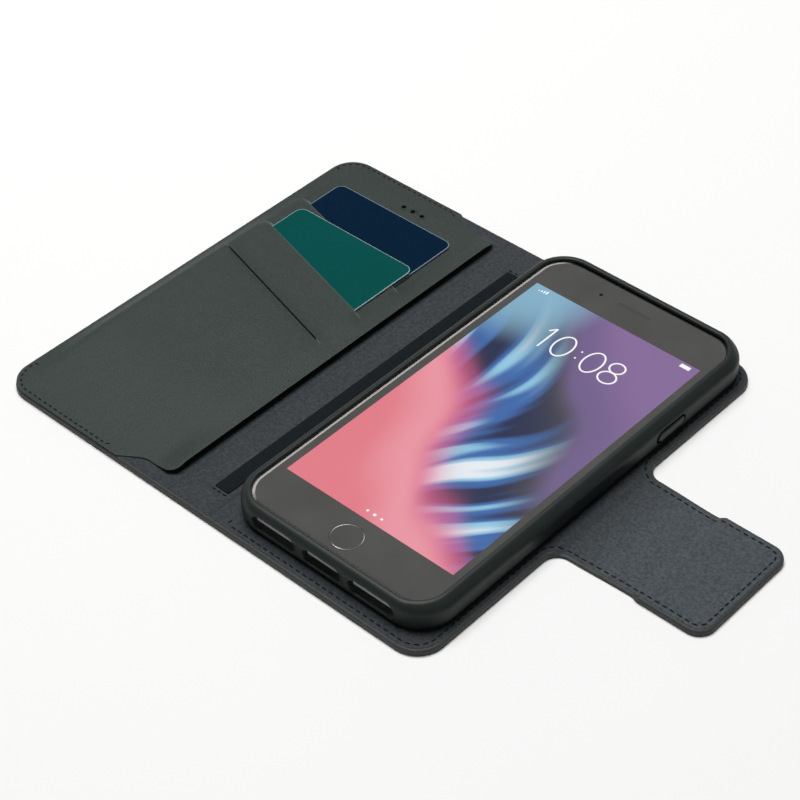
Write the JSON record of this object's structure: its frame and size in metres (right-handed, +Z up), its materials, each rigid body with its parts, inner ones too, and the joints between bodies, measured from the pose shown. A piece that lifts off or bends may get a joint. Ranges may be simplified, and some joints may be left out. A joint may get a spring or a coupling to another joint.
{
  "type": "phone wallet case",
  "caption": "Folio wallet for a phone, lying open: moulded tray on the back cover, slim spine, front cover with card pockets and a magnetic closing tab.",
  "frame": {"origin": "underside of the back cover, on the tray's long centre line and half-way up the cover", "axes": "+X across the open folio towards the closing tab, +Y towards the phone's top, +Z up from the table through the phone's screen"},
  "size_m": [0.2397, 0.1684, 0.0124],
  "materials": {
    "outer_leather": "fine smooth grain, satin",
    "wallet_leather": "fine smooth grain, satin",
    "suede_lining": "short brushed nap, matt",
    "board": "hidden stiffening board",
    "tray_plastic": "fine matt texture",
    "button_plastic": "fine matt texture",
    "strip_fabric": "woven edge tape",
    "pocket_fabric": "thin plain weave",
    "magnet_steel": "plated",
    "keeper_steel": "bare sheet",
    "phone_metal": "blasted and dyed grey",
    "phone_face": "polished dark grey cover glass",
    "screen": "lit abstract gradient",
    "home_glass": "polished",
    "camera_black": "polished black",
    "green_plastic": "satin laminate",
    "navy_plastic": "satin laminate"
  },
  "bodies": {
    "back": {"back_cover_leather": "outer_leather", "back_cover_board": "board", "back_cover_lining": "suede_lining", "phone_tray": "tray_plastic"},
    "spine": {"spine_leather": "outer_leather", "spine_stiffener": "board", "spine_lining": "suede_lining", "spine_strip": "strip_fabric"},
    "front": {"front_cover_leather": "outer_leather", "front_cover_board": "board", "front_cover_lining": "suede_lining", "keeper_plate": "keeper_steel", "wallet_back_panel": "wallet_leather", "wallet_face": "wallet_leather", "pocket_liner_upper": "pocket_fabric", "pocket_liner_middle": "pocket_fabric", "pocket_liner_lower": "pocket_fabric"},
    "tab_side": {"tab_side_leather": "outer_leather", "tab_side_lining": "suede_lining"},
    "tab_end": {"tab_end_leather": "outer_leather", "tab_end_board": "board", "tab_end_lining": "suede_lining", "tab_magnets": "magnet_steel"},
    "power_button": {"power_button": "button_plastic"},
    "volume_up_button": {"volume_up_button": "button_plastic"},
    "volume_down_button": {"volume_down_button": "button_plastic"},
    "phone": {"phone_housing": "phone_metal", "phone_front_glass": "phone_face", "phone_display": "screen", "phone_home_button": "home_glass", "phone_camera": "camera_black"},
    "card_green": {"card_green": "green_plastic"},
    "card_navy": {"card_navy": "navy_plastic"}
  },
  "joints": [
    {"name": "spine_fold", "type": "hinge", "parent": "back", "child": "spine", "pos_m": [-0.0441, 0, 0.0008], "axis": [0, -1, 0], "range_deg": [-90, 0]},
    {"name": "front_fold", "type": "hinge", "parent": "spine", "child": "front", "pos_m": [-0.0621, 0, 0.0008], "axis": [0, -1, 0], "range_deg": [-90, 0]},
    {"name": "tab_fold", "type": "hinge", "parent": "back", "child": "tab_side", "pos_m": [0.045, 0, 0.0008], "axis": [0, 1, 0], "range_deg": [-90, 0]},
    {"name": "tab_end_fold", "type": "hinge", "parent": "tab_side", "child": "tab_end", "pos_m": [0.0659, 0, 0.0008], "axis": [0, 1, 0], "range_deg": [-90, 0]},
    {"name": "phone_lift", "type": "slide", "parent": "back", "child": "phone", "axis": [0, 0, 1], "range_m": [0, 0.02]},
    {"name": "card_green_slide", "type": "slide", "parent": "front", "child": "card_green", "axis": [0, 1, 0], "range_m": [0, 0.06]},
    {"name": "card_navy_slide", "type": "slide", "parent": "front", "child": "card_navy", "axis": [0, 1, 0], "range_m": [0, 0.06]},
    {"name": "power_button_press", "type": "slide", "parent": "back", "child": "power_button", "axis": [-1, 0, 0], "range_m": [0, 0.0004], "stiffness_N_per_m": 800},
    {"name": "volume_up_button_press", "type": "slide", "parent": "back", "child": "volume_up_button", "axis": [1, 0, 0], "range_m": [0, 0.0004], "stiffness_N_per_m": 800},
    {"name": "volume_down_button_press", "type": "slide", "parent": "back", "child": "volume_down_button", "axis": [1, 0, 0], "range_m": [0, 0.0004], "stiffness_N_per_m": 800}
  ]
}
